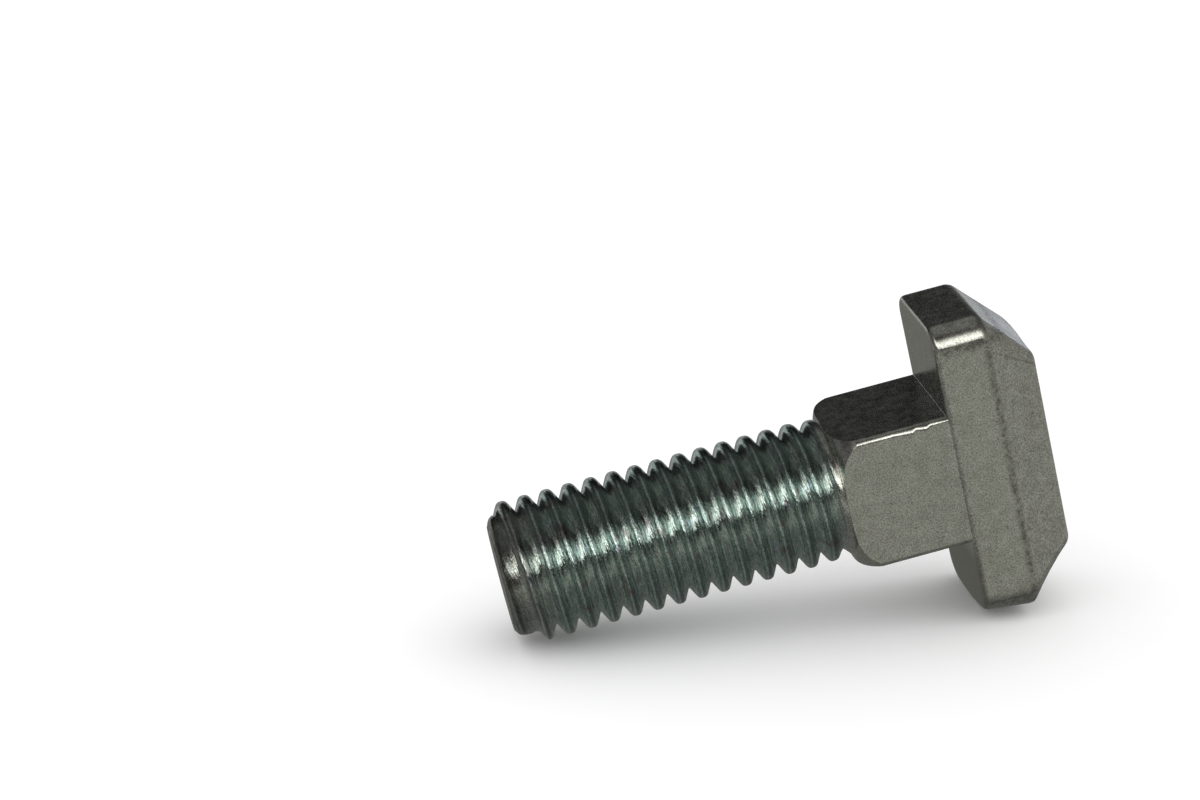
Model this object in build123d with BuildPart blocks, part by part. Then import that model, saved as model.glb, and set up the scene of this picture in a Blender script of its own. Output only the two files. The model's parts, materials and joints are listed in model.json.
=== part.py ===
"""T slot bolt, M8 thread, 25 mm under the head.

The bolt is one steel forging. A hammer head drops through the slot of a profile and turns across it,
a square neck stops it turning further, and the thread stands out of the slot for a nut.

It is drawn along +X from the thread's end, with the head's long side along Z, and then laid down as
it comes to rest: on the lower end of its head and on the thread near its tip.
"""

import os
from math import asin, atan, degrees, hypot

from build123d import *

# Driving dimensions, in millimetres

# Thread and shank
thread_diameter = 8.0
shank_diameter = 7.2
tip_diameter = 5.7
tip_length = 1.0
run_out_length = 0.4
plain_length = 0.8

# Square neck
under_head = 25.2
neck_length = 6.2
neck_width = 7.86
neck_depth = 7.5
neck_edge = 0.35
neck_shoulder = 1.5

# Hammer head
head_width = 8.14
head_length = 17.4
head_corner = 1.35
side_height = 2.85
bevel_height = 2.65
plateau_width = 6.26
plateau_length = 11.0
plateau_corner = 0.7
soft_edge = 0.3

# Places along the axis, from the thread's end
neck_start = under_head - neck_length
plain_start = neck_start - plain_length
thread_end = plain_start - run_out_length
bevel_start = under_head + side_height
head_top = bevel_start + bevel_height

thread_radius = thread_diameter / 2
shank_radius = shank_diameter / 2
tip_radius = tip_diameter / 2
neck_corner = hypot(neck_width, neck_depth) / 2


with BuildPart() as head:
    # Straight sides stand on the bearing face, which clamps behind the lips of the slot.
    with BuildSketch(Plane.YZ.offset(under_head)):
        RectangleRounded(head_width, head_length, head_corner)
    extrude(amount=side_height)

    # Above them the head slopes in on all four sides to a flat top.
    with BuildSketch(Plane.YZ.offset(bevel_start)):
        RectangleRounded(head_width, head_length, head_corner)
    with BuildSketch(Plane.YZ.offset(head_top)):
        RectangleRounded(plateau_width, plateau_length, plateau_corner)
    loft()

    # Forging leaves the edges of the top, and both ends of the bearing face, soft.
    top_edges = head.faces().sort_by(Axis.X)[-1].edges()
    bearing_ends = head.faces().sort_by(Axis.X)[0].edges().filter_by(Axis.Y)
    fillet(top_edges + bearing_ends, radius=soft_edge)

with BuildPart() as neck:
    with BuildSketch(Plane.YZ.offset(neck_start)):
        RectangleRounded(neck_width, neck_depth, neck_edge)
    extrude(amount=neck_length)

    # The square's corners are rounded off towards the thread, as if turned.
    with BuildSketch(Plane.XY):
        with BuildLine():
            shoulder = RadiusArc(
                (neck_start, neck_corner - neck_shoulder),
                (neck_start + neck_shoulder, neck_corner),
                neck_shoulder,
            )
            Polyline(
                shoulder @ 1,
                (under_head, neck_corner),
                (under_head, 0),
                (neck_start, 0),
                shoulder @ 0,
            )
        make_face()
    revolve(axis=Axis.X, mode=Mode.INTERSECT)

with BuildPart() as shank:
    # A plain length at the pitch diameter joins the thread to the neck.
    with BuildSketch(Plane.XY):
        with BuildLine():
            Polyline(
                (0, 0),
                (0, tip_radius),
                (tip_length, thread_radius),
                (thread_end, thread_radius),
                (plain_start, shank_radius),
                (neck_start, shank_radius),
                (neck_start, 0),
                close=True,
            )
        make_face()
    revolve(axis=Axis.X)

with BuildPart() as bolt:
    add(head.part)
    add(neck.part)
    add(shank.part)

# At rest one straight line, the floor, touches the thread and the rounded lower end of the head.
contact_run = under_head + soft_edge - tip_length
contact_drop = head_length / 2 - soft_edge - thread_radius
rest_tilt = degrees(atan(contact_drop / contact_run) + asin(soft_edge / hypot(contact_run, contact_drop)))

lying = bolt.part.rotate(Axis.Y, -rest_tilt)
span = lying.bounding_box()
with BuildPart() as t_bolt:
    with Locations((-span.center().X, 0, -span.min.Z)):
        add(lying)

os.makedirs("parts", exist_ok=True)
t_bolt.part.label = "t_bolt"
export_step(t_bolt.part, "parts/t_bolt.step")
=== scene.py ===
"""T slot bolt of zinc plated steel, lying on its side as it comes to rest."""

import json
from math import atan2, cos, exp, hypot, pi, radians, sin

import bmesh
import bpy
from mathutils import Matrix, Vector


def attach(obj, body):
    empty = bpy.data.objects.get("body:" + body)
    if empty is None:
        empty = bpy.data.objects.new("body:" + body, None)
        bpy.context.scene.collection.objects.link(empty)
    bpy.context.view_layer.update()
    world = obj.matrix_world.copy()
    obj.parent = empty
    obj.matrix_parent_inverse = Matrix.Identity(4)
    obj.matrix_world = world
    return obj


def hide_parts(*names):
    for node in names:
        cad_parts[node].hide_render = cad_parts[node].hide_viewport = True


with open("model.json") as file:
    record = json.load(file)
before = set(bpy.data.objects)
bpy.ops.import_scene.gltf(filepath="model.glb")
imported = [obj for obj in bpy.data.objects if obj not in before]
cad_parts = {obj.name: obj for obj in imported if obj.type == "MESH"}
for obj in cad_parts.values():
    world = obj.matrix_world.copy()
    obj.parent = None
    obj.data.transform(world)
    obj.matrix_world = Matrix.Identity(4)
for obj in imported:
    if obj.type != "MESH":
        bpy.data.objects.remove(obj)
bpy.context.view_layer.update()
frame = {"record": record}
mm = 0.001

# --- Camera -----------------------------------------------------------------------------------
# A long lens stands beside the bolt and looks a little down on it, from the thread's side of
# square, so that the thread, one side of the neck and the head's sloping side all show.

camera_side = 7.91
camera_height = 18.67
camera_roll = 2.17
camera_distance = 0.18046
camera_lens = 99.0
camera_sensor = 36.0
nearest_seen = 10 * mm
aim = Vector((-9.10, 2.55, 12.57)) * mm

look = Vector(
    (
        sin(radians(camera_side)) * cos(radians(camera_height)),
        cos(radians(camera_side)) * cos(radians(camera_height)),
        -sin(radians(camera_height)),
    )
)
camera_data = bpy.data.cameras.new("camera")
camera_data.lens = camera_lens
camera_data.sensor_width = camera_sensor
camera_data.clip_start = nearest_seen
camera = bpy.data.objects.new("camera", camera_data)
camera_place = Matrix.Translation(aim - look * camera_distance)
camera_turn = look.to_track_quat("-Z", "Y").to_matrix().to_4x4()
camera_tilt = Matrix.Rotation(radians(-camera_roll), 4, "Z")
camera.matrix_world = camera_place @ camera_turn @ camera_tilt
bpy.context.scene.collection.objects.link(camera)
bpy.context.scene.camera = camera

# --- Studio -----------------------------------------------------------------------------------
# A pale floor runs off into a soft white surround, which is all the light there is on the floor.
# The metal mirrors a dim grey room with a long soft lamp in front, above the camera's own height.

floor_size = 3.0
floor_white = (0.97, 0.97, 0.97, 1)
floor_roughness = 0.9
surround_strength = 1.12
floor_mesh = bpy.data.meshes.new("floor")
bm = bmesh.new()
bmesh.ops.create_grid(bm, x_segments=1, y_segments=1, size=floor_size)
bm.to_mesh(floor_mesh)
bm.free()
floor = bpy.data.objects.new("floor", floor_mesh)
bpy.context.scene.collection.objects.link(floor)
floor.visible_glossy = False
floor_paint = bpy.data.materials.new("pale_floor")
floor_paint.use_nodes = True
floor_shader = floor_paint.node_tree.nodes["Principled BSDF"]
floor_shader.inputs["Base Color"].default_value = floor_white
floor_shader.inputs["Roughness"].default_value = floor_roughness
floor_shader.inputs["Specular IOR Level"].default_value = 0.0
floor.data.materials.append(floor_paint)

# Each side of the room is a ramp from straight down, -1, to straight up, 1, by how high one looks.
# The lamp is the bright band on the side that the camera stands on. The far side is lit low down and
# dark above, with a window towards its right. Past the head is a grey wall, past the tip a dark one.
lamp_side_room = (
    (-1.00, (0.145, 0.145, 0.140)),
    (-0.60, (0.165, 0.165, 0.155)),
    (-0.42, (0.250, 0.250, 0.230)),
    (-0.31, (0.365, 0.370, 0.325)),
    (-0.19, (0.320, 0.325, 0.290)),
    (0.00, (0.150, 0.150, 0.140)),
    (0.10, (0.018, 0.018, 0.017)),
    (0.30, (0.016, 0.016, 0.015)),
    (0.35, (2.500, 2.500, 2.380)),
    (0.51, (2.350, 2.340, 2.240)),
    (0.65, (0.800, 0.800, 0.740)),
    (0.72, (0.280, 0.290, 0.270)),
    (0.78, (0.050, 0.038, 0.038)),
    (0.83, (0.016, 0.007, 0.008)),
    (0.90, (0.030, 0.016, 0.017)),
    (0.95, (0.115, 0.120, 0.110)),
    (1.00, (0.145, 0.150, 0.138)),
)
far_side_room = (
    (-1.00, (0.150, 0.150, 0.145)),
    (-0.55, (0.150, 0.150, 0.140)),
    (-0.34, (0.180, 0.183, 0.166)),
    (-0.20, (0.260, 0.265, 0.250)),
    (-0.07, (0.420, 0.430, 0.420)),
    (0.03, (0.560, 0.580, 0.600)),
    (0.06, (0.400, 0.410, 0.420)),
    (0.10, (0.008, 0.008, 0.008)),
    (0.58, (0.006, 0.006, 0.006)),
    (0.74, (0.110, 0.112, 0.104)),
    (1.00, (0.130, 0.133, 0.122)),
)
far_window_room = (
    (-1.00, (0.150, 0.150, 0.145)),
    (-0.55, (0.150, 0.150, 0.140)),
    (-0.30, (0.220, 0.223, 0.206)),
    (-0.07, (0.480, 0.490, 0.490)),
    (0.03, (0.900, 0.980, 1.250)),
    (0.09, (1.100, 1.220, 1.700)),
    (0.14, (0.100, 0.100, 0.110)),
    (0.60, (0.060, 0.060, 0.060)),
    (1.00, (0.095, 0.099, 0.090)),
)
right_side_room = (
    (-1.00, (0.150, 0.150, 0.145)),
    (-0.50, (0.200, 0.200, 0.190)),
    (-0.30, (0.300, 0.302, 0.276)),
    (0.10, (0.270, 0.270, 0.250)),
    (0.42, (0.230, 0.230, 0.215)),
    (0.60, (0.060, 0.060, 0.058)),
    (1.00, (0.090, 0.090, 0.085)),
)
left_side_room = (
    (-1.00, (0.150, 0.150, 0.145)),
    (-0.30, (0.210, 0.210, 0.195)),
    (0.10, (0.080, 0.080, 0.076)),
    (0.20, (0.120, 0.105, 0.120)),
    (0.30, (0.045, 0.040, 0.040)),
    (1.00, (0.060, 0.060, 0.058)),
)
room_power = 2.5


def socket_of(sockets, name):
    """Finds a mix node's socket by its full name, because several share the short one."""
    return next(socket for socket in sockets if socket.identifier == name)


world = bpy.data.worlds.new("surround")
bpy.context.scene.world = world
world.use_nodes = True
nodes = world.node_tree.nodes
links = world.node_tree.links
nodes.clear()
world_out = nodes.new("ShaderNodeOutputWorld")
white = nodes.new("ShaderNodeBackground")
white.inputs["Color"].default_value = (1, 1, 1, 1)
white.inputs["Strength"].default_value = surround_strength
room = nodes.new("ShaderNodeBackground")
room.inputs["Strength"].default_value = room_power
facing = nodes.new("ShaderNodeTexCoord")
split = nodes.new("ShaderNodeSeparateXYZ")
height = nodes.new("ShaderNodeMapRange")
height.inputs["From Min"].default_value = -1.0
links.new(facing.outputs["Generated"], split.inputs["Vector"])
links.new(split.outputs["Z"], height.inputs["Value"])
room_colours = []
for bands in (far_side_room, far_window_room, lamp_side_room, right_side_room, left_side_room):
    ramp_node = nodes.new("ShaderNodeValToRGB")
    stops = ramp_node.color_ramp.elements
    while len(stops) < len(bands):
        stops.new(0.5)
    for stop, (level, colour) in zip(stops, bands):
        stop.position = (level + 1) / 2
        stop.color = (*(part / room_power for part in colour), 1)
    links.new(height.outputs["Result"], ramp_node.inputs["Fac"])
    room_colours.append(ramp_node.outputs["Color"])

# From the far side on, each next side takes over between two values along one axis.
room_blends = (
    ("X", 0.40, 0.50),
    ("Y", 0.25, -0.25),
    ("X", 0.52, 0.66),
    ("X", -0.55, -0.75),
)
room_colour = room_colours[0]
for next_colour, (axis, blend_start, blend_end) in zip(room_colours[1:], room_blends):
    side = nodes.new("ShaderNodeMapRange")
    side.inputs["From Min"].default_value = blend_start
    side.inputs["From Max"].default_value = blend_end
    links.new(split.outputs[axis], side.inputs["Value"])
    sides = nodes.new("ShaderNodeMix")
    sides.data_type = "RGBA"
    links.new(side.outputs["Result"], sides.inputs["Factor"])
    links.new(room_colour, socket_of(sides.inputs, "A_Color"))
    links.new(next_colour, socket_of(sides.inputs, "B_Color"))
    room_colour = socket_of(sides.outputs, "Result_Color")
links.new(room_colour, room.inputs["Color"])

# Only mirrored light comes from the room. All other light is the plain white surround.
rays = nodes.new("ShaderNodeLightPath")
pick = nodes.new("ShaderNodeMixShader")
links.new(rays.outputs["Is Glossy Ray"], pick.inputs["Fac"])
links.new(white.outputs["Background"], pick.inputs[1])
links.new(room.outputs["Background"], pick.inputs[2])
links.new(pick.outputs["Shader"], world_out.inputs["Surface"])
bpy.context.scene.view_settings.view_transform = "Standard"

# --- The bolt ---------------------------------------------------------------------------------
# One forging of steel: a hammer head, a square neck and a rolled M8 thread, in one piece. It is
# made along +X from the thread's end and then laid down on the frame's own axis.

thread_mount = next(m for m in frame["record"]["mounts"] if m["name"] == "thread")
mount_from_tip = 9.4 * mm
to_tip = Vector(thread_mount["axis"]).normalized()
along = -to_tip
rest_turn = atan2(along.z, along.x)
tip_place = Vector(thread_mount["pos_m"]) + to_tip * mount_from_tip
lay_down = Matrix.Translation(tip_place) @ Matrix.Rotation(-rest_turn, 4, "Y")
stand_up = lay_down.inverted()

# --- Head -------------------------------------------------------------------------------------
# The hammer head is hot forged with the rest of the bolt. It drops through the slot and turns
# across it. Straight sides stand on the bearing face, and all four slope in to a flat top.

under_head = 25.2 * mm
head_width = 8.14 * mm
head_length = 17.36 * mm
head_corner = 1.35 * mm
side_height = 2.85 * mm
bevel_height = 2.65 * mm
plateau_width = 6.26 * mm
plateau_length = 11.0 * mm
plateau_corner = 0.45 * mm
soft_edge = 0.3 * mm
corner_segments = 6
edge_segments = 4
crease_angle = radians(25)


def rounded_face(bm, at, width, length, corner):
    """Adds a flat face across the axis, a rectangle with rounded corners, and returns it."""
    made = bmesh.ops.create_grid(bm, x_segments=1, y_segments=1, size=0.5)["verts"]
    stand = Matrix.Translation((at, 0, 0)) @ Matrix.Rotation(pi / 2, 4, "Y")
    size = Matrix.Diagonal((length, width, 1, 1))
    bmesh.ops.transform(bm, matrix=stand @ size, verts=made)
    bevelled = bmesh.ops.bevel(
        bm,
        geom=made,
        offset=corner,
        affect="VERTICES",
        segments=corner_segments,
        profile=0.5,
        material=-1,
    )
    faces = bevelled["faces"] + list(bevelled["verts"][0].link_faces)
    return max(faces, key=lambda face: face.calc_area())


def soften(bm, edges, radius, segments, clamp=False):
    """Rounds edges to a radius, or to less where they lie too close for it and it is clamped."""
    bmesh.ops.bevel(
        bm,
        geom=edges,
        offset=radius,
        affect="EDGES",
        segments=segments,
        profile=0.5,
        material=-1,
        clamp_overlap=clamp,
    )


def cut_plane(bm, point, normal, clear_outer=False):
    """Cuts a form along a plane, so that it can be bent there, or cuts off what lies past it."""
    return bmesh.ops.bisect_plane(
        bm,
        geom=bm.verts[:] + bm.edges[:] + bm.faces[:],
        plane_co=point,
        plane_no=normal,
        clear_outer=clear_outer,
    )


def held(share):
    """Holds a share between none and all."""
    return min(1.0, max(0.0, share))


head = bmesh.new()
bearing = rounded_face(head, under_head, head_width, head_length, head_corner)
raised = bmesh.ops.extrude_face_region(head, geom=[bearing], use_keep_orig=True)
brow = next(part for part in raised["geom"] if isinstance(part, bmesh.types.BMFace))
bmesh.ops.translate(head, vec=(side_height, 0, 0), verts=brow.verts)
plateau = rounded_face(
    head, under_head + side_height + bevel_height, plateau_width, plateau_length, plateau_corner
)
brow_loop = list(brow.edges)
bmesh.ops.delete(head, geom=[brow], context="FACES_ONLY")
bmesh.ops.bridge_loops(head, edges=brow_loop + list(plateau.edges))
bmesh.ops.recalc_face_normals(head, faces=head.faces)

creases = [edge for edge in head.edges if edge.calc_face_angle(0) > crease_angle]
soften(head, creases, soft_edge, edge_segments)

# The upper end of the flat top bows out a little, and the lower end came out of the die crowned. On
# the near side it is shorter at the bearing face than at the brow, and its slope is a little hollow.
bow_rise = 0.18 * mm
bow_swell = 0.28 * mm
bow_centre = 1.2 * mm
bow_reach = 2.7 * mm
bow_from = 4.4 * mm
bow_full = 5.2 * mm
crown_rise = 0.34 * mm
crown_centre = 1.0 * mm
crown_reach = 4.4 * mm
crown_from = 5.0 * mm
bearing_rise = 0.20 * mm
brow_drop = 0.20 * mm
slope_hollow = 0.16 * mm
hollow_spread = 3
cuts_along = (-3, -2, -1, 0, 1, 2, 3)
cuts_across = (7.6, 6.9, 6.2, -6.2, -6.9, -7.6)
brow_place = under_head + side_height
for place in cuts_along:
    cut_plane(head, (0, place * mm, 0), (0, 1, 0))
for place in cuts_across:
    cut_plane(head, (0, 0, place * mm), (0, 0, 1))
for vert in head.verts:
    x, y, z = vert.co
    up_slope = held((x - brow_place) / bevel_height)
    up_side = held((x - under_head) / side_height)
    bow = bow_rise + bow_swell * max(0.0, 1 - ((y - bow_centre) / bow_reach) ** 2)
    vert.co.z += up_slope * bow * held((z - bow_from) / (bow_full - bow_from))
    share = held((-z - crown_from) / (head_length / 2 - crown_from))
    vert.co.z += share**2 * crown_rise * ((y - crown_centre) / crown_reach) ** 2
    near_share = held((crown_centre - y) / crown_reach)
    vert.co.z += share**2 * near_share * (bearing_rise * (1 - up_side) - brow_drop * up_side)
    mid_slope = 4 * up_slope * (1 - up_slope)
    vert.co.x -= min(1.0, hollow_spread * share) * slope_hollow * mid_slope

# --- Neck -------------------------------------------------------------------------------------
# The square neck sits in the slot and stops the bolt turning. Its corners are turned off towards
# the thread, and the forging dies leave its long edges nearly sharp.

neck_length = 6.2 * mm
neck_width = 7.86 * mm
neck_depth = 7.5 * mm
neck_edge = 0.3 * mm
neck_shoulder = 1.5 * mm
neck_shoulder_reach = 2.1 * mm
neck_sink = 0.2 * mm
neck_segments = 4
edge_slack = 0.01
step_slack = 0.001
neck_start = under_head - neck_length
neck_corner = hypot(neck_width, neck_depth) / 2

neck = bmesh.new()
bmesh.ops.create_cube(neck, size=1.0)
bmesh.ops.scale(neck, vec=(neck_length + neck_sink, neck_width, neck_depth), verts=neck.verts)
bmesh.ops.translate(neck, vec=(neck_start + (neck_length + neck_sink) / 2, 0, 0), verts=neck.verts)
long_edges = []
for edge in neck.edges:
    first, second = edge.verts
    if abs(first.co.x - second.co.x) > neck_length / 2:
        long_edges.append(edge)
soften(neck, long_edges, neck_edge, neck_segments)

# One upper edge was squeezed down in steps as the dies closed: each place along the bolt and how
# far the edge dropped there, both in millimetres.
burr_steps = (
    (19.0, 0.10),
    (20.6, 0.05),
    (22.3, 0.08),
    (23.20, 0.20),
    (23.42, 0.03),
    (24.00, 0.17),
    (24.22, 0.00),
    (26.0, 0.00),
)
for place, drop in burr_steps[1:-1]:
    cut_plane(neck, (place * mm, 0, 0), (1, 0, 0))
for vert in neck.verts:
    in_from_side = vert.co.y + neck_width / 2
    edge_top = neck_depth / 2 - (1 + edge_slack) * neck_edge
    if in_from_side < (1 - edge_slack) * neck_edge and vert.co.z > edge_top:
        at = vert.co.x / mm
        for (first_place, first_drop), (second_place, second_drop) in zip(burr_steps, burr_steps[1:]):
            if first_place <= at + step_slack <= second_place:
                share = (at - first_place) / (second_place - first_place)
                drop = first_drop + share * (second_drop - first_drop)
        vert.co.z -= drop * mm * (1 - in_from_side / neck_edge)

# The shoulder is a turned form, and the square neck is cut back to what both share.
shoulder = bmesh.new()
shoulder_steps = 12
shoulder_facets = 128
merge_distance = 0.001 * mm
shoulder_line = [shoulder.verts.new((neck_start, 0, 0))]
for step in range(shoulder_steps + 1):
    angle = radians(90 * step / shoulder_steps)
    x = neck_start + neck_shoulder_reach * (1 - cos(angle))
    r = neck_corner - neck_shoulder * (1 - sin(angle))
    shoulder_line.append(shoulder.verts.new((x, 0, r)))
shoulder_line.append(shoulder.verts.new((under_head + 2 * neck_sink, 0, neck_corner)))
shoulder_line.append(shoulder.verts.new((under_head + 2 * neck_sink, 0, 0)))
for first, second in zip(shoulder_line, shoulder_line[1:]):
    shoulder.edges.new((first, second))
bmesh.ops.spin(
    shoulder,
    geom=shoulder.verts[:] + shoulder.edges[:],
    cent=(0, 0, 0),
    axis=(1, 0, 0),
    angle=2 * pi,
    steps=shoulder_facets,
    use_merge=True,
)
bmesh.ops.remove_doubles(shoulder, verts=shoulder.verts, dist=merge_distance)
bmesh.ops.recalc_face_normals(shoulder, faces=shoulder.faces)

# --- Thread -----------------------------------------------------------------------------------
# The M8 thread is rolled into the shank, so its crests are rounded and its roots smooth. The
# rolling fades out in the last turns before the neck, and the rounded tip has no thread yet.

pitch = 1.25 * mm
crest_radius = 4.0 * mm
root_radius = 3.30 * mm
shank_radius = 3.6 * mm
crest_at = 1.153 * mm
turn_steps = 96
turns_made = 18
turns_before_crest = 2.5

# The thread's rise from a root to a crest, as shares of the pitch and of the depth. The fall to the
# next root is its mirror image.
rise = (
    (0.000, 0.00),
    (0.025, 0.02),
    (0.060, 0.12),
    (0.120, 0.32),
    (0.190, 0.56),
    (0.250, 0.75),
    (0.300, 0.87),
    (0.360, 0.95),
    (0.430, 0.988),
    (0.500, 1.00),
)
fall = [(1 - share, depth) for share, depth in reversed(rise[1:-1])]

thread = bmesh.new()
thread_start = crest_at - turns_before_crest * pitch
line = []
for turn in range(turns_made):
    for share, depth in (*rise, *fall):
        x = thread_start + (turn + share) * pitch
        r = root_radius + depth * (crest_radius - root_radius)
        line.append(thread.verts.new((x, 0, r)))
for first, second in zip(line, line[1:]):
    thread.edges.new((first, second))
bmesh.ops.spin(
    thread,
    geom=thread.verts[:] + thread.edges[:],
    cent=(0, 0, 0),
    axis=(1, 0, 0),
    angle=2 * pi,
    dvec=(pitch / turn_steps, 0, 0),
    steps=turn_steps,
)
bmesh.ops.remove_doubles(thread, verts=thread.verts, dist=merge_distance)

# A short rounded point stands before the first turn, which starts later on the heavy side. Towards
# the neck the grooves fade into the shank.
point_radius = 3.42 * mm
point_floor = 3.37 * mm
tip_radius = 2.87 * mm
tip_shift = 0.09 * mm
tip_swell = 0.17 * mm
first_turn = 0.85 * mm
first_turn_lag = 0.45 * mm
first_turn_rise = 0.40 * mm
heavy_side = radians(246)
run_out_start = 17.2 * mm
run_out_end = 20.2 * mm
run_out_crest = 0.45
thread_length = 19.4 * mm
for vert in thread.verts:
    x, y, z = vert.co
    radius = hypot(y, z)
    angle = atan2(z, y)
    turn_start = first_turn + first_turn_lag * cos(angle - heavy_side)
    begun = held((x - turn_start) / first_turn_rise)
    radius += (1 - begun) * (max(radius, point_floor) - radius)
    faded = held((x - run_out_start) / (run_out_end - run_out_start))
    if radius > shank_radius:
        faded *= 1 - run_out_crest
    radius += faded * (shank_radius - radius)
    rim_radius = tip_radius + tip_shift * cos(angle - heavy_side)
    envelope = point_radius - (point_radius - rim_radius) * exp(-max(x, 0) / tip_swell)
    envelope += begun * (crest_radius - point_radius)
    radius = min(radius, envelope)
    vert.co.y = radius * cos(angle)
    vert.co.z = radius * sin(angle)
for place, side in ((0.0, -1), (thread_length, 1)):
    cut = cut_plane(thread, (place, 0, 0), (side, 0, 0), clear_outer=True)
    rim = [part for part in cut["geom_cut"] if isinstance(part, bmesh.types.BMEdge)]
    bmesh.ops.edgeloop_fill(thread, edges=rim)
bmesh.ops.recalc_face_normals(thread, faces=thread.faces)

# --- The forging as one piece -------------------------------------------------------------------
# Head, neck and shank are one piece of steel, so the three forms are united into one closed skin
# and laid down on the axis that the thread has in the frame.


def stage_object(name, bm):
    """Puts one form of the forging in an object of its own until the forms are united."""
    bmesh.ops.transform(bm, matrix=lay_down, verts=bm.verts)
    mesh = bpy.data.meshes.new(name)
    bm.to_mesh(mesh)
    bm.free()
    made = bpy.data.objects.new(name, mesh)
    bpy.context.scene.collection.objects.link(made)
    return made


def combine(target, other, operation):
    """Unites another form with the target, or cuts the target back to what both share."""
    modifier = target.modifiers.new(operation.lower(), "BOOLEAN")
    modifier.operation = operation
    modifier.solver = "EXACT"
    modifier.object = other


head_form = stage_object("head_form", head)
neck_form = stage_object("neck_form", neck)
shoulder_form = stage_object("shoulder_form", shoulder)
thread_form = stage_object("thread_form", thread)
combine(neck_form, shoulder_form, "INTERSECT")
combine(head_form, neck_form, "UNION")
combine(head_form, thread_form, "UNION")
bpy.context.view_layer.update()
graph = bpy.context.evaluated_depsgraph_get()
bolt_mesh = bpy.data.meshes.new_from_object(head_form.evaluated_get(graph))
bolt_mesh.name = "bolt"
for form in (head_form, neck_form, shoulder_form, thread_form):
    bpy.data.objects.remove(form)

# A thin fillet runs round the neck where it meets the head, and the shoulder's edge is eased.
junction_fillet = 0.10 * mm
shoulder_ease = 0.16 * mm
fillet_segments = 3
least_angle = radians(20)
plane_slack = 0.02 * mm
ease_reach = 2.2 * mm
ease_beyond = 4.2 * mm
ease_longest = 0.6 * mm
united = bmesh.new()
united.from_mesh(bolt_mesh)
junction = []
eased = []
for edge in united.edges:
    first, second = (stand_up @ vert.co for vert in edge.verts)
    if edge.calc_face_angle(0) < least_angle:
        continue
    tipward = min(first.x, second.x)
    headward = max(first.x, second.x)
    if max(abs(first.x - under_head), abs(second.x - under_head)) < plane_slack:
        if not edge.is_convex:
            junction.append(edge)
    elif neck_start + plane_slack < tipward and headward < neck_start + ease_reach:
        far_out = min(first.yz.length, second.yz.length) > ease_beyond
        if far_out and edge.calc_length() < ease_longest:
            eased.append(edge)
soften(united, eased, shoulder_ease, fillet_segments, clamp=True)
junction = [edge for edge in junction if edge.is_valid]
soften(united, junction, junction_fillet, fillet_segments, clamp=True)
united.to_mesh(bolt_mesh)
united.free()
bolt = bpy.data.objects.new("bolt", bolt_mesh)
bpy.context.scene.collection.objects.link(bolt)

# The large faces are shaded flat, and only the edges between them look rounded.
sharp_angle = radians(34)
face_weight = 80
bolt_mesh.shade_smooth()
bolt_mesh.set_sharp_from_angle(angle=sharp_angle)
weighting = bolt.modifiers.new("face_weighting", "WEIGHTED_NORMAL")
weighting.keep_sharp = True
weighting.weight = face_weight

# --- Zinc finish --------------------------------------------------------------------------------
# Clear passivated zinc, semi-bright and finely grained, with darker smudges along the forging
# crease and small pits. Rolled surfaces of the thread are smoother and greener than the head.

zinc = bpy.data.materials.new("zinc_plated_steel")
zinc.use_nodes = True
zinc_nodes = zinc.node_tree.nodes
zinc_links = zinc.node_tree.links
zinc_shader = zinc_nodes["Principled BSDF"]
zinc_shader.inputs["Metallic"].default_value = 1.0
zinc_shader.inputs["Specular IOR Level"].default_value = 0.5

# Places on the bolt are read along it, across it and up its head, in metres from the thread's end.
on_bolt = zinc_nodes.new("ShaderNodeTexCoord")
placed = zinc_nodes.new("ShaderNodeMapping")
placed.vector_type = "POINT"
placed.inputs["Location"].default_value = stand_up.to_translation()
placed.inputs["Rotation"].default_value = stand_up.to_euler()
zinc_links.new(on_bolt.outputs["Object"], placed.inputs["Vector"])
bolt_axes = zinc_nodes.new("ShaderNodeSeparateXYZ")
zinc_links.new(placed.outputs["Vector"], bolt_axes.inputs["Vector"])
along_bolt = bolt_axes.outputs["X"]
across_bolt = bolt_axes.outputs["Y"]
up_head = bolt_axes.outputs["Z"]


def zinc_noise(feature, detail=2.0, roughness=0.5, stretch=(1, 1, 1)):
    """Noise whose patches are about the given size."""
    source = placed.outputs["Vector"]
    if stretch != (1, 1, 1):
        stretched = zinc_nodes.new("ShaderNodeMapping")
        stretched.inputs["Scale"].default_value = stretch
        zinc_links.new(source, stretched.inputs["Vector"])
        source = stretched.outputs["Vector"]
    noise = zinc_nodes.new("ShaderNodeTexNoise")
    noise.inputs["Scale"].default_value = 1 / feature
    noise.inputs["Detail"].default_value = detail
    noise.inputs["Roughness"].default_value = roughness
    zinc_links.new(source, noise.inputs["Vector"])
    return noise.outputs["Fac"]


def spread(value, low, high, to_low=0.0, to_high=1.0, smooth=True):
    """Takes a value from one range to another and holds it there."""
    node = zinc_nodes.new("ShaderNodeMapRange")
    node.interpolation_type = "SMOOTHSTEP" if smooth else "LINEAR"
    node.clamp = True
    for name, number in (("From Min", low), ("From Max", high), ("To Min", to_low), ("To Max", to_high)):
        node.inputs[name].default_value = number
    zinc_links.new(value, node.inputs["Value"])
    return node.outputs["Result"]


def work(operation, first, second):
    """One step of arithmetic on two values or a value and a number."""
    node = zinc_nodes.new("ShaderNodeMath")
    node.operation = operation
    for socket, value in zip(node.inputs, (first, second)):
        if isinstance(value, (int, float)):
            socket.default_value = value
        else:
            zinc_links.new(value, socket)
    return node.outputs["Value"]


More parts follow.
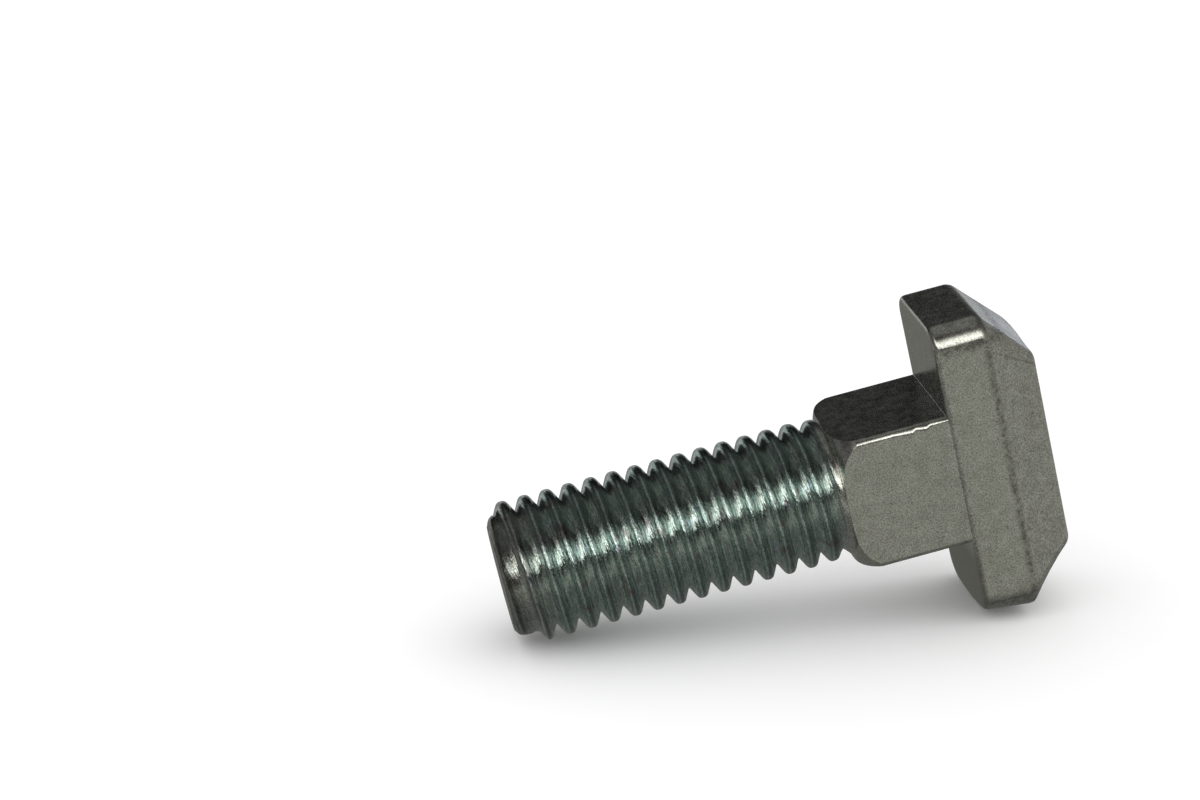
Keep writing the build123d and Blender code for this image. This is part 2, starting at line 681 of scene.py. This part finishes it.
def blend_colour(first, second, factor):
    """Mixes two colours by a factor."""
    node = zinc_nodes.new("ShaderNodeMix")
    node.data_type = "RGBA"
    zinc_links.new(factor, socket_of(node.inputs, "Factor_Float"))
    for name, colour in (("A_Color", first), ("B_Color", second)):
        socket = socket_of(node.inputs, name)
        if isinstance(colour, tuple):
            socket.default_value = (*colour, 1)
        else:
            zinc_links.new(colour, socket)
    return socket_of(node.outputs, "Result_Color")


def to_length_one(vector):
    """Keeps a vector's direction and makes its length one."""
    node = zinc_nodes.new("ShaderNodeVectorMath")
    node.operation = "NORMALIZE"
    zinc_links.new(vector, node.inputs[0])
    return node.outputs["Vector"]


def add_bump(strength, distance, relief, normal):
    """Adds fine relief to a normal and returns the new one."""
    node = zinc_nodes.new("ShaderNodeBump")
    node.inputs["Strength"].default_value = strength
    node.inputs["Distance"].default_value = distance
    zinc_links.new(relief, node.inputs["Height"])
    zinc_links.new(normal, node.inputs["Normal"])
    return node.outputs["Normal"]


# Each point of the thread is read by its phase in the thread's own profile, which is the same at
# every turn. The cosine of the phase is 1 on a crest and -1 in a root, and its sine is 1 halfway
# down the flank that faces the neck.
thread_blend = 0.8 * mm
end_face = (0.04 * mm, 0.22 * mm)
on_thread = spread(along_bolt, neck_start, neck_start - thread_blend)
past_end_face = spread(along_bolt, *end_face)
on_turns = work("MULTIPLY", on_thread, past_end_face)
turned = work("ARCTAN2", up_head, across_bolt)
in_turns = work("DIVIDE", work("SUBTRACT", along_bolt, crest_at), pitch)
in_profile = work("SUBTRACT", work("MULTIPLY", in_turns, 2 * pi), work("SUBTRACT", turned, pi / 2))
crest_share = work("COSINE", in_profile, 0)
flank_share = work("SINE", in_profile, 0)

# Rolling drew the thread's surface out in fine streaks, which lie along the turns. In the colour they
# also stand in for the dark streaks of reflection under the thread's highlights, as painted reflection.
streak_count = 3.1
streak_length = 0.55 * mm
streak_lean = 0.9
streak_detail = 2.5
streak_roughness = 0.6
streak_place = zinc_nodes.new("ShaderNodeCombineXYZ")
over_crest = work("MULTIPLY", crest_share, streak_count)
around = work("DIVIDE", across_bolt, streak_length)
down = work("ADD", up_head, work("MULTIPLY", along_bolt, streak_lean))
zinc_links.new(work("ADD", over_crest, around), streak_place.inputs["X"])
zinc_links.new(work("MULTIPLY", flank_share, streak_count), streak_place.inputs["Y"])
zinc_links.new(work("DIVIDE", down, streak_length), streak_place.inputs["Z"])
streak_noise = zinc_nodes.new("ShaderNodeTexNoise")
streak_noise.inputs["Scale"].default_value = 1.0
streak_noise.inputs["Detail"].default_value = streak_detail
streak_noise.inputs["Roughness"].default_value = streak_roughness
zinc_links.new(streak_place.outputs["Vector"], streak_noise.inputs["Vector"])
streaks = streak_noise.outputs["Fac"]

# The zinc is beige on the head, greener on the thread and greyer at its tip. The grooves are painted a
# little less green than the crests, to offset the green that light gathers bouncing between their walls.
# The passivation leaves soft clouds of maroon and blue on the thread.
head_colour = (0.590, 0.592, 0.545)
thread_colour = (0.430, 0.552, 0.512)
groove_painted_offset_colour = (0.450, 0.545, 0.500)
tip_colour = (0.500, 0.515, 0.475)
maroon_tint = (0.330, 0.250, 0.245)
blue_tint = (0.470, 0.530, 0.620)
groove_painted_offset_edge = (-1.0, 0.4)
tip_colour_share = 0.8
tip_colour_reach = (3.2 * mm, 0.8 * mm)
cloud_size = 1.1 * mm
maroon_edge = (0.56, 0.74)
maroon_most = 0.75
patch_size = 0.9 * mm
patch_stretch = (1.0, 1.3, 0.8)
blue_edge = (0.60, 0.75)
blue_most = 0.7
# Painted offset for light: grooves a little less green than the crests.
crest_colour_share = spread(crest_share, *groove_painted_offset_edge)
colour = blend_colour(groove_painted_offset_colour, thread_colour, crest_colour_share)
near_tip = spread(along_bolt, *tip_colour_reach, 0.0, tip_colour_share)
colour = blend_colour(colour, tip_colour, near_tip)
colour = blend_colour(head_colour, colour, on_thread)
clouds = zinc_noise(cloud_size, detail=3.0)
patches = zinc_noise(patch_size, detail=2.0, stretch=patch_stretch)
maroon_share = work("MULTIPLY", spread(clouds, *maroon_edge, 0.0, maroon_most), on_thread)
colour = blend_colour(colour, maroon_tint, maroon_share)
blue_share = work("MULTIPLY", spread(patches, *blue_edge, 0.0, blue_most), on_thread)
colour = blend_colour(colour, blue_tint, blue_share)

# The zinc's own grain and a wider mottle speckle the whole bolt.
grain_size = 0.08 * mm
fine_grain_size = 0.045 * mm
mottle_size = 0.6 * mm
grain_range = (0.34, 0.66, 0.58, 1.44)
streak_tone_and_reflection_range = (0.34, 0.66, 0.76, 1.20)
mottle_range = (0.3, 0.7, 0.86, 1.13)
neck_blend = 0.5 * mm
grain = zinc_noise(grain_size, detail=2.0, roughness=0.7)
fine_grain = zinc_noise(fine_grain_size, detail=1.0)
mottle = zinc_noise(mottle_size, detail=3.0, roughness=0.6)
off_thread = spread(along_bolt, neck_start, neck_start + neck_blend)
grain_shade = spread(grain, *grain_range, smooth=False)
# Streaks in the colour: partly the rolled surface's own tone, partly painted reflection under the
# highlights.
streak_tone_and_painted_reflection = spread(streaks, *streak_tone_and_reflection_range, smooth=False)
speckle_and_painted_shade = work("MULTIPLY", grain_shade, spread(mottle, *mottle_range, smooth=False))

# On the thread, shade and light are painted into the colour. The crests are painted duller than the
# flanks, but for a painted highlight, a thin bright line on the tip's side of each. The flanks that face
# the neck get painted shade, and the first turn is painted darker to dim its highlights. The flat end
# face has one even shade.
crest_painted_shade_range = (0.15, 0.75, 0.0, 0.46)
crest_painted_highlight_shift = 0.35
crest_painted_highlight_range = (0.91, 0.985, 0.0, 0.60)
flank_level = 0.97
flank_contrast = 0.14
first_turn_painted_shade_range = (0.2 * mm, 1.6 * mm, 0.72, 1.0)
end_face_shade = 0.75
# Painted shade dulls the crests, and a painted highlight puts back a thin bright line beside each.
crest_painted_shade = spread(crest_share, *crest_painted_shade_range)
beside_crest = work("COSINE", work("ADD", in_profile, crest_painted_highlight_shift), 0)
crest_painted_highlight = spread(beside_crest, *crest_painted_highlight_range)
# Painted shade on the flanks that face the neck, and on the first turn to dim its highlights.
flank_shade = work("SUBTRACT", flank_level, work("MULTIPLY", flank_share, flank_contrast))
flank_shade = work("ADD", work("SUBTRACT", flank_shade, crest_painted_shade), crest_painted_highlight)
flank_shade = work("MULTIPLY", flank_shade, spread(along_bolt, *first_turn_painted_shade_range))
thread_streaks_and_painted_shade = work("SUBTRACT", work("MULTIPLY", streak_tone_and_painted_reflection, flank_shade), end_face_shade)
thread_streaks_and_painted_shade = work("ADD", work("MULTIPLY", thread_streaks_and_painted_shade, past_end_face), end_face_shade)
thread_streaks_and_painted_shade = work("MULTIPLY", thread_streaks_and_painted_shade, on_thread)
# The thread's painted shade and streaks join the grain and mottle here.
speckle_and_painted_shade = work("MULTIPLY", speckle_and_painted_shade, work("ADD", work("SUBTRACT", 1.0, on_thread), thread_streaks_and_painted_shade))
shade = zinc_nodes.new("ShaderNodeVectorMath")
shade.operation = "SCALE"
zinc_links.new(colour, shade.inputs[0])
zinc_links.new(speckle_and_painted_shade, shade.inputs["Scale"])
colour = shade.outputs["Vector"]

# Smudges lie along the crease between the head's side and its slope and round its lower end. Just under
# its upper corner a band of painted shade lies below the rounded edge's highlight.
crease_reach = (0.34 * mm, 0.02 * mm)
head_edge = (under_head - 0.1 * mm, under_head + 0.3 * mm)
lower_reach = (-head_length / 2 + 1.7 * mm, -head_length / 2 + 0.9 * mm)
lower_most = 0.6
upper_shade_place = head_length / 2 - head_corner + 0.10 * mm
upper_shade_reach = (0.55 * mm, 0.05 * mm)
spot_size = 0.22 * mm
spot_edge = (0.42, 0.64)
patchiness_range = (0.0, 1.0, 0.25, 0.90)
from_crease = work("ABSOLUTE", work("SUBTRACT", along_bolt, brow_place), 0)
near_crease = spread(from_crease, *crease_reach)
on_head = spread(along_bolt, *head_edge)
lower_end = spread(up_head, *lower_reach, 0.0, lower_most)
from_corner = work("ABSOLUTE", work("SUBTRACT", up_head, upper_shade_place), 0)
# Painted shade: the dark band under the upper corner's highlight.
upper_corner_painted_shade = spread(from_corner, *upper_shade_reach)
patchiness = spread(zinc_noise(spot_size, detail=4.0, roughness=0.7), *spot_edge)
lower_wear_and_upper_shade = work("MULTIPLY", work("MAXIMUM", lower_end, upper_corner_painted_shade), on_head)
smudges_and_upper_shade = work("MAXIMUM", near_crease, lower_wear_and_upper_shade)
smudge_and_painted_shade = work("MULTIPLY", smudges_and_upper_shade, spread(patchiness, *patchiness_range, smooth=False))

# Two faint lines mark where the dies met: one above the rounded lower end, one under the upper
# corner of the sloping side.
lower_line_place = -7.5 * mm
lower_line_reach = (0.14 * mm, 0.03 * mm)
upper_line_place = 6.4 * mm
upper_line_reach = (0.12 * mm, 0.02 * mm)
slant_from = 28.7 * mm
slant_rise = 0.68
slope_reach = (brow_place, brow_place + 0.4 * mm)
slope_most = 0.7
die_line_range = (0.0, 1.0, 0.35, 0.9)
lower_line = work("ABSOLUTE", work("SUBTRACT", up_head, lower_line_place), 0)
slant = work("MULTIPLY", work("SUBTRACT", along_bolt, slant_from), slant_rise)
slanted = work("ADD", up_head, slant)
upper_line = work("ABSOLUTE", work("SUBTRACT", slanted, upper_line_place), 0)
lower_line = work("MULTIPLY", spread(lower_line, *lower_line_reach), on_head)
on_slope = spread(along_bolt, *slope_reach, 0.0, slope_most)
upper_line = work("MULTIPLY", spread(upper_line, *upper_line_reach), on_slope)
both_lines = work("MAXIMUM", lower_line, upper_line)
die_lines = work("MULTIPLY", both_lines, spread(patchiness, *die_line_range, smooth=False))
smudge_and_painted_shade = work("MAXIMUM", smudge_and_painted_shade, die_lines)

# Small pits are scattered over head and neck, and the bearing face is darker near its lower end.
pit_size = 0.24 * mm
pit_edge = (0.65, 0.74)
pit_most = 0.65
bearing_lower = (-3.7 * mm, -5.4 * mm)
bearing_most = 0.55
bearing_edge = (under_head + 0.35 * mm, under_head + 0.05 * mm)
dark_mark_and_shade_colour = (0.200, 0.195, 0.170)
pit_cells = zinc_noise(pit_size, detail=2.0, roughness=0.6)
pits = work("MULTIPLY", spread(pit_cells, *pit_edge, 0.0, pit_most), off_thread)
lower_bearing = spread(up_head, *bearing_lower, 0.0, bearing_most)
lower_bearing = work("MULTIPLY", lower_bearing, off_thread)
bearing_shade = work("MULTIPLY", lower_bearing, spread(along_bolt, *bearing_edge))
# Smudges, die lines and pits take one dark colour, with the painted shade under the upper corner and the
# bearing face's darker lower end.
marks_and_painted_shade = work("MAXIMUM", work("MAXIMUM", smudge_and_painted_shade, pits), bearing_shade)
colour = blend_colour(colour, dark_mark_and_shade_colour, marks_and_painted_shade)
zinc_links.new(colour, zinc_shader.inputs["Base Color"])

# The mottle leaves some places duller, the rolled thread is smoother, and the stains and painted shade
# are rougher.
rough_range = (0.3, 0.7, 0.19, 0.27)
thread_smoothing = 0.07
dark_mark_roughness = 0.15
rough = spread(mottle, *rough_range, smooth=False)
rough = work("SUBTRACT", rough, work("MULTIPLY", on_thread, thread_smoothing))
rough = work("ADD", rough, work("MULTIPLY", marks_and_painted_shade, dark_mark_roughness))
zinc_links.new(rough, zinc_shader.inputs["Roughness"])

# The walls of the grooves are shaded partly as if they faced straight out from the bolt's axis.
# This evens their look alone, and the mesh keeps the full depth of the thread.
groove_flatness = 0.72
groove_reach = (0.30, -0.75)
outward = zinc_nodes.new("ShaderNodeCombineXYZ")
zinc_links.new(work("MULTIPLY", up_head, -sin(rest_turn)), outward.inputs["X"])
zinc_links.new(across_bolt, outward.inputs["Y"])
zinc_links.new(work("MULTIPLY", up_head, cos(rest_turn)), outward.inputs["Z"])
straight = to_length_one(outward.outputs["Vector"])
groove_share = spread(crest_share, *groove_reach, 0.0, groove_flatness)
groove_share = work("MULTIPLY", groove_share, on_turns)
surface = zinc_nodes.new("ShaderNodeNewGeometry")
flattened = zinc_nodes.new("ShaderNodeMix")
flattened.data_type = "VECTOR"
zinc_links.new(groove_share, socket_of(flattened.inputs, "Factor_Float"))
zinc_links.new(surface.outputs["Normal"], socket_of(flattened.inputs, "A_Vector"))
zinc_links.new(straight, socket_of(flattened.inputs, "B_Vector"))
evened = to_length_one(socket_of(flattened.outputs, "Result_Vector"))

# Over that come the zinc's fine relief, sunk a little at the stains and the painted shade, and the
# thread's streaks.
zinc_strength = 0.35
zinc_relief = 0.010 * mm
grain_part = 0.5
fine_grain_part = 0.25
dark_mark_sink = 0.4
mottle_part = 1.5
streak_strength = 1.0
streak_relief = 0.042 * mm
grain_relief = work("MULTIPLY", grain, grain_part)
relief = work("ADD", grain_relief, work("MULTIPLY", fine_grain, fine_grain_part))
relief = work("SUBTRACT", relief, work("MULTIPLY", marks_and_painted_shade, dark_mark_sink))
relief = work("ADD", relief, work("MULTIPLY", mottle, mottle_part))
normal = add_bump(zinc_strength, zinc_relief, relief, evened)
drawn_relief = work("MULTIPLY", streaks, on_turns)
normal = add_bump(streak_strength, streak_relief, drawn_relief, normal)
zinc_links.new(normal, zinc_shader.inputs["Normal"])
bolt_mesh.materials.clear()
bolt_mesh.materials.append(zinc)

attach(bolt, "root")
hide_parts("t_bolt")
